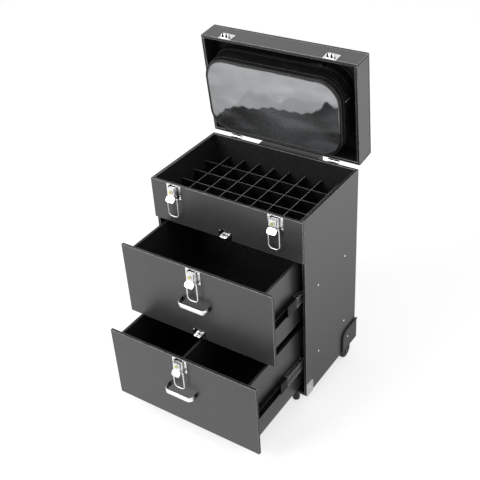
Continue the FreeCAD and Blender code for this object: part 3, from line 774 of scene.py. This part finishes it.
bracket_height, bracket_ease, guide_foot = 0.022, 0.002, 0.003
lower_top = (guides_high[0], guides_high[1], guides_low[2] + bracket_height)
upper_foot = (guides_low[0], guides_low[1], guides_high[2] - bracket_height)
brackets = [slab(guides_low, lower_top, Z, first=0, second=0, rim=0),
            slab(upper_foot, guides_high, Z, first=0, second=0, rim=0)]
eased(piece("handle_brackets", brackets, [black_plastic], "cabinet", ["handle_guides"]),
      bracket_ease, edge=0, segments=3)
guides = tubes(guides_low[2] + guide_foot, guides_high[2], inner=0.0068, outer=0.008)
creased(piece("handle_guide_tubes", guides, [black_plastic, rail_black], "cabinet",
              smooth=True))

# %% [markdown]
# The zip bag is the soft part. It hangs in the open lid against the top board. Its outline is a rounded
# rectangle, kept as inner points and outward directions, so that any inset of it is one sum and its corners
# stay concentric. Towards the front the bag sags under its own weight.

# %% Bag outline
bag_middle, bag_half = np.array([-6.0, 109.5]), np.array([151.0, 81.5])
bag_corner, bag_depth, bag_sag, sag_power = 46.0, 62.0, 7.0, 1.5
corner_steps, long_steps, short_steps = 18, 34, 14
corner_turn = np.linspace(0, np.pi / 2, corner_steps)
corner_centres = np.array([(1, 1), (-1, 1), (-1, -1), (1, -1)]) * (bag_half - bag_corner)
ring_inner, ring_out = [], []
for k in range(4):
    angle = corner_turn + k * np.pi / 2
    centre, onward = corner_centres[k], corner_centres[(k + 1) % 4]
    run = np.linspace(0, 1, short_steps if k % 2 else long_steps)[1:-1, None]
    out = np.stack([np.cos(angle), np.sin(angle)], axis=1)
    ring_inner += [np.repeat(centre[None], corner_steps, 0), centre + (onward - centre) * run]
    ring_out += [out, np.repeat(out[-1:], len(run), 0)]
ring_inner, ring_out = np.concatenate(ring_inner), np.concatenate(ring_out)
ring_count = len(ring_inner)
ring_share = np.arange(ring_count) / ring_count * 2 * np.pi


def from_bag(u, v, w):
    """Across, up and out of the lid, in millimetres from the bag's middle, to the shared frame.

    The front falls by the whole sag, and what is behind it by that times a power of its share of the depth.
    """
    fallen = v - bag_sag * (np.maximum(w, 0) / bag_depth) ** sag_power
    closed = np.stack([bag_middle[0] + u, bag_middle[1] - fallen, lid_inside - w], axis=-1).reshape(-1, 3)
    return opened(in_metres(closed))


def bag_ring(inset, w, wave=0.0):
    """The bag's outline, drawn in by an inset, at a distance w from the lid's board."""
    flat = ring_inner + (bag_corner - inset - wave)[..., None] * ring_out
    return flat[..., 0], flat[..., 1], np.broadcast_to(w, flat.shape[:-1])


def plain_ring(inset, w):
    """The bag's outline with the same inset all round."""
    return bag_ring(np.full(ring_count, inset), w)


print("bag outline:", ring_count, "points")

# %% [markdown]
# The gusset is black vinyl, lofted by following the outline from the board, over the front edge and in to
# the window. Long waves keep it from looking moulded. They die out at the board, at the front and along the
# zip, which is stiffer.

# %% Bag gusset
zip_w, zip_calm, wave_end = 22.0, 7.0, 58
gusset_inset, vinyl_sheet = 0.6, 0.0008
fold, fold_radius = np.linspace(0, np.pi / 2, 8), 3.5
front_fold = bag_depth - fold_radius + fold_radius * np.sin(fold)
profile_inset = np.concatenate([[4, 1.5, 0.3], np.zeros(14), fold_radius * (1 - np.cos(fold)), [5, 6.5]])
profile_out = np.concatenate([[0.4, 2, 4], np.linspace(7, 56, 14), front_fold, [bag_depth, bag_depth - 0.4]])
calm_zip = 1 - np.exp(-((profile_out - zip_w) / zip_calm) ** 2)
middle_share = (np.sin(np.pi * np.clip(profile_out / wave_end, 0, 1)) * calm_zip)[:, None]
profile_w = profile_out[:, None]
wave = middle_share * (0.9 * np.sin(7 * ring_share + 2.2 * profile_w / 20)
                       + 0.6 * np.sin(15 * ring_share + 1.0)
                       + 0.4 * np.sin(31 * ring_share - profile_w / 6))
drawn_in = np.repeat(profile_inset[:, None], ring_count, 1) + gusset_inset
gusset_points = from_bag(*bag_ring(drawn_in, profile_w, wave))
gusset_part = (gusset_points, [(grid_faces(len(profile_inset), ring_count, False, True)[:, ::-1], 0)])
gusset = piece("bag_gusset", [gusset_part], [vinyl], "lid", ["bag_body"], smooth=True,
               sheet=True)
thickness = gusset.modifiers.new("vinyl_thickness", "SOLIDIFY")
thickness.thickness = vinyl_sheet
thickness.offset = -1

# %% [markdown]
# The bag's window is clear vinyl, stretched and a little crowned. It is pale where it stands free and dark
# where it clings to the black lining behind it, with an uneven line between; the pale part is a little haze
# and mostly a painted reflection. It is a grid of rings that shrink to the middle. The share of painted sheen
# and haze is a number on each point, so the line follows the sheet whatever the lid does.

# %% Window's shape and painted sheen
window_inset, window_rings = 5.0, 60
window_lift, window_crown, ripple_height = 0.2, 4.5, 0.45
ring_size = np.linspace(0, 1, window_rings)[:, None]
edge_u, edge_v = plain_ring(window_inset, bag_depth)[:2]
window_u, window_v = ring_size * edge_u, ring_size * edge_v
ripple = np.sin(window_u / 17 + 0.8) * np.cos(window_v / 13) + 0.6 * np.sin(window_u / 7.5 - window_v / 11)
window_w = bag_depth + window_lift + (1 - ring_size ** 2) * (window_crown + ripple_height * ripple)


def hill(middle, width):
    """A bell across the window: 1 at its middle, and falling off over that width."""
    return np.exp(-((window_u - middle) / width) ** 2)


# Painted reflection with a little haze: pale above an uneven line across the window, faded on the left, with
# a faint pale patch right of the middle.
border_soft, left_fade, right_sheen_and_haze = 4, 0.24, 0.15
border = (2 + 0.2 * window_u - 24 * hill(-138, 20) - 12 * hill(68, 26) + 14 * hill(122, 11)
          + 2.2 * np.sin(window_u / 11 + 2) + 1.4 * np.sin(window_u / 4.1 + window_v / 9))
sheen_and_haze_mask = np.clip((window_v - border) / border_soft + 0.5, 0, 1)
sheen_and_haze_mask = sheen_and_haze_mask * sheen_and_haze_mask * (3 - 2 * sheen_and_haze_mask)
sheen_and_haze_mask = sheen_and_haze_mask * (1 - left_fade * hill(-140, 45)) + right_sheen_and_haze * (1 - sheen_and_haze_mask) * hill(25, 62)
print("cloudy share of the window:", sheen_and_haze_mask.mean().round(2))

# %% [markdown]
# Clear vinyl is mostly see-through, so its finish mixes a transparent shader with a grey, glossy one. A
# glass shader would bend the light as a thick pane does, which a thin sheet doesn't.

# %% Bag window
def clear_vinyl():
    """A see-through sheet mixed with a grey, glossy one.

    The grey share is the painted sheen and haze, made uneven by a soft noise, plus long creases and the gloss
    of a slanting view.
    """
    material, maker, shader = new_finish("clear_vinyl")
    where = maker.place()
    sheen_and_haze = maker.add("ShaderNodeAttribute", {"attribute_name": "sheen_and_haze_mask"}, None, "Fac")
    soft = maker.noise(where, 26)
    gloss = maker.add("ShaderNodeFresnel", None, {"IOR": 1.5})
    long_folds = maker.add("ShaderNodeMapping", None, {"Vector": where, "Scale": (10, 34, 34)})
    crease = maker.step(maker.noise(long_folds, 1.0, 1.0), 0.45, 0.75)
    # The grey share paints the window's reflection and haze.
    grey_share = 0.03 + 0.03 * soft + 0.12 * crease + sheen_and_haze * (0.55 + 0.26 * soft) + gloss * 0.22
    maker.feed(shader, {"Base Color": (0.60, 0.62, 0.64, 1), "Roughness": 0.12, "Coat Weight": 0.5})
    clear = maker.add("ShaderNodeBsdfTransparent", None, {"Color": grey(0.9)})
    mixed = maker.add("ShaderNodeMixShader", None, [grey_share, clear, Sock(maker, shader.outputs[0])])
    maker.feed(material.node_tree.nodes["Material Output"], {"Surface": mixed})
    return material


def disc(u, v, w):
    """Rings that shrink to one middle point, with triangles round it and four-cornered faces beyond.

    The first ring lies all in the middle, so only the last of its points is kept.
    """
    spare = ring_count - 1
    faces = np.maximum(grid_faces(len(u), ring_count, False, True) - spare, 0)
    return from_bag(u, v, w)[spare:], [(faces[:ring_count, :3], 0), (faces[ring_count:], 0)]


window_part = disc(window_u, window_v, window_w)
window = piece("bag_window_sheet", [window_part], [clear_vinyl()], "lid", ["bag_window"],
               smooth=True, sheet=True)
sheen_and_haze_values = window.data.attributes.new("sheen_and_haze_mask", "FLOAT", "POINT").data
sheen_and_haze_values.foreach_set("value", sheen_and_haze_mask.astype(np.float32).ravel()[-len(sheen_and_haze_values):])
flat_area = 4 * (bag_half - window_inset).prod() - (4 - math.pi) * (bag_corner - window_inset) ** 2
flat_area * 1e-6

# %% [markdown]
# Behind the window is the black lining on the lid's board. Round the front edge runs a fat piping, and a thin
# bead is welded round the window. The bead's top is painted pale in patches, as a highlight. They follow the
# same ring as the gusset, so they always sit on its edge.

# %% Bag lining, piping and bead
lining_w, lining_rings = 1.2, 6
lining_size = np.linspace(0, 1, lining_rings)[:, None]
lining_u, lining_v = plain_ring(window_inset, lining_w)[:2]
lining_rows = np.full((lining_rings, ring_count), lining_w)
lining_part = disc(lining_size * lining_u, lining_size * lining_v, lining_rows)
piece("bag_lining", [lining_part], [vinyl], "lid", sheet=True)
lid_origin, lid_below = opened([[0, 0, 0], [0, 0, -1.0]])
lid_out = lid_below - lid_origin
lit_above = -30


def bead(name, inset, w, radius, finishes):
    """A round section carried along the bag's ring.

    Its upper part has the first finish, and the rest the last; on the window's bead the first finish is a
    painted highlight.
    """
    angle = np.linspace(0, 2 * np.pi, 12, endpoint=False)
    section = radius * mm * np.stack([np.cos(angle), np.sin(angle)], axis=1)
    across, up, out = plain_ring(inset, w)
    points, [(faces, number)] = swept(from_bag(across, up, out), section, lid_out, True)
    lit = np.repeat(up > lit_above, len(angle))
    part = points, [(faces[lit], 0), (faces[~lit], len(finishes) - 1)]
    piece(name, [part], finishes, "lid", smooth=True)


bead("bag_front_piping", inset=1.2, w=61.2, radius=1.3, finishes=[vinyl])
bead("bag_seam", inset=0.1, w=51.0, radius=0.6, finishes=[vinyl])
bead("bag_back_piping", inset=0.4, w=3.0, radius=1.6, finishes=[vinyl])
# Painted highlight: pale patches along the top of the window's bead.
bead("window_bead", inset=window_inset, w=62.3, radius=0.7, finishes=[window_bead_highlight, vinyl])

# %% [markdown]
# The zip runs over the top of the gusset and down both sides: a flat tape with two rows of small teeth. A
# tooth is a box of six faces, repeated along the tape with one array sum.

# %% Zip
tape_out, tape_end, tooth_pitch = 0.6, 0.002, 0.0023
tooth_proud, tooth_stagger, tooth_half = 0.0008, 0.0009, (0.0008, 0.0006, 0.0014)
on_tape = (ring_share > 0) & (ring_share < np.pi)
tape_path = from_bag(*plain_ring(-tape_out, zip_w))[on_tape]
zip_finish = grained("zip_teeth", grey(0.03), grey(0.06), 300, 0.3, 0.00001, metal=0.8)
tape = swept(tape_path, rounded_section(0.001, 0.012, 0.0004), lid_out)
tape_steps = np.linalg.norm(np.diff(tape_path, axis=0), axis=1)
tape_length = np.concatenate([[0], np.cumsum(tape_steps)])
spots = np.arange(tape_end, tape_length[-1] - tape_end, tooth_pitch)
tooth_middle = np.stack([np.interp(spots, tape_length, tape_path[:, k]) for k in (X, Y, Z)], axis=1)
tooth_ahead = np.gradient(tooth_middle, axis=0)
tooth_ahead /= np.linalg.norm(tooth_ahead, axis=1)[:, None]
tooth_out = np.cross(tooth_ahead, lid_out)
tooth_row = np.where(np.arange(len(spots)) % 2, 1, -1)[:, None]
tooth_middle = tooth_middle + tooth_proud * tooth_out + tooth_stagger * lid_out * tooth_row
cube = np.array([(x, y, z) for x in (-1, 1) for y in (-1, 1) for z in (-1, 1)], float) * tooth_half
axes = np.stack([tooth_ahead, tooth_out, np.broadcast_to(lid_out, tooth_out.shape)], axis=1)
tooth_points = (tooth_middle[:, None] + np.einsum("ck,nkd->ncd", cube, axes)).reshape(-1, 3)
cube_faces = np.array([(0, 1, 3, 2), (4, 6, 7, 5), (0, 4, 5, 1), (2, 3, 7, 6), (0, 2, 6, 4), (1, 5, 7, 3)])
tooth_faces = (cube_faces[None] + len(cube) * np.arange(len(spots))[:, None, None]).reshape(-1, 4)
teeth = (tooth_points, [(tooth_faces, 1)])
piece("bag_zip_chain", [tape, teeth], [vinyl, zip_finish], "lid", ["bag_zip"])

# %% [markdown]
# At the zip's end a short vinyl tab lies on the gusset's right side. Its folded end is painted pale, as a
# highlight.

# %% Tab at the zip's end
tab_proud, tab_w, tab_points, fold_step = 0.5, 38.5, 14, 0.0006
tab_path = from_bag(*plain_ring(-tape_out - tab_proud, tab_w))[:tab_points]
tab_strip = swept(tab_path, rounded_section(0.0009, 0.017, 0.0004), lid_out)
tab_ahead = (tab_path[0] - tab_path[1]) / np.linalg.norm(tab_path[0] - tab_path[1])
fold_path = tab_path[:1] + np.arange(3)[:, None] * tab_ahead * fold_step
# The fold carries the painted highlight.
tab_fold = swept(fold_path, rounded_section(0.0018, 0.0172, 0.0006), lid_out, number=1)
piece("zip_end_tab", [tab_strip, tab_fold], [vinyl, tab_fold_highlight], "lid")

# %% [markdown]
# The slider is two plates joined by a stem, with the tape between them, and a bridge that holds a pull tab.
# The plates are prisms across the tape, measured in millimetres on the bag, so the bag's sag carries them
# along.

# %% Slider
slider_u, slider_v, slider_ease = 90.0, 82.7, 0.0002
bridge_half, bridge_foot, bridge_top = 3, 2, 3.6


def in_bag(part):
    """A part measured on the bag, in millimetres, put into the shared frame."""
    return from_bag(*part[0].T), part[1]


def slider_layer(plan, low, high):
    """A plan of (across, out) points, carried upwards between two heights above the tape."""
    return in_bag(prism(plan, (slider_v + low, slider_v + high), Y, first=0, second=0, rim=0))


slider_plan = np.array([(-5.5, -1.8), (-5.5, 1.8), (-2, 3), (5.5, 3), (5.5, -3), (-2, -3)])
slider_plan = slider_plan + (slider_u, zip_w)
stem_plan = np.array([(-1, -1), (-1, 1), (1, 1), (1, -1)]) + (slider_u + 3.5, zip_w)
tab_plan = rounded_section(20, 5, 2.2) + (slider_u - 10.5, zip_w)
bridge_corners = [(-bridge_half, bridge_foot, 0), (-bridge_half, bridge_top, 0), (bridge_half, bridge_top, 0),
                  (bridge_half, bridge_foot, 0)]
bridge_line = bent(np.array(bridge_corners) + (slider_u, slider_v, zip_w), radius=1.2, steps=6)
bridge = in_bag(swept(bridge_line, rounded_section(0.9, 1.6, 0.3), (0, 0, 1)))
slider_parts = [slider_layer(slider_plan, 1.3, 2.2), slider_layer(slider_plan, 0, 0.8), bridge,
                slider_layer(tab_plan, 2.3, 2.9), slider_layer(stem_plan, 0.7, 1.4)]
eased(piece("slider_and_tab", slider_parts, [zip_finish], "zip_slider", ["zip_slider"]),
      slider_ease, edge=0)
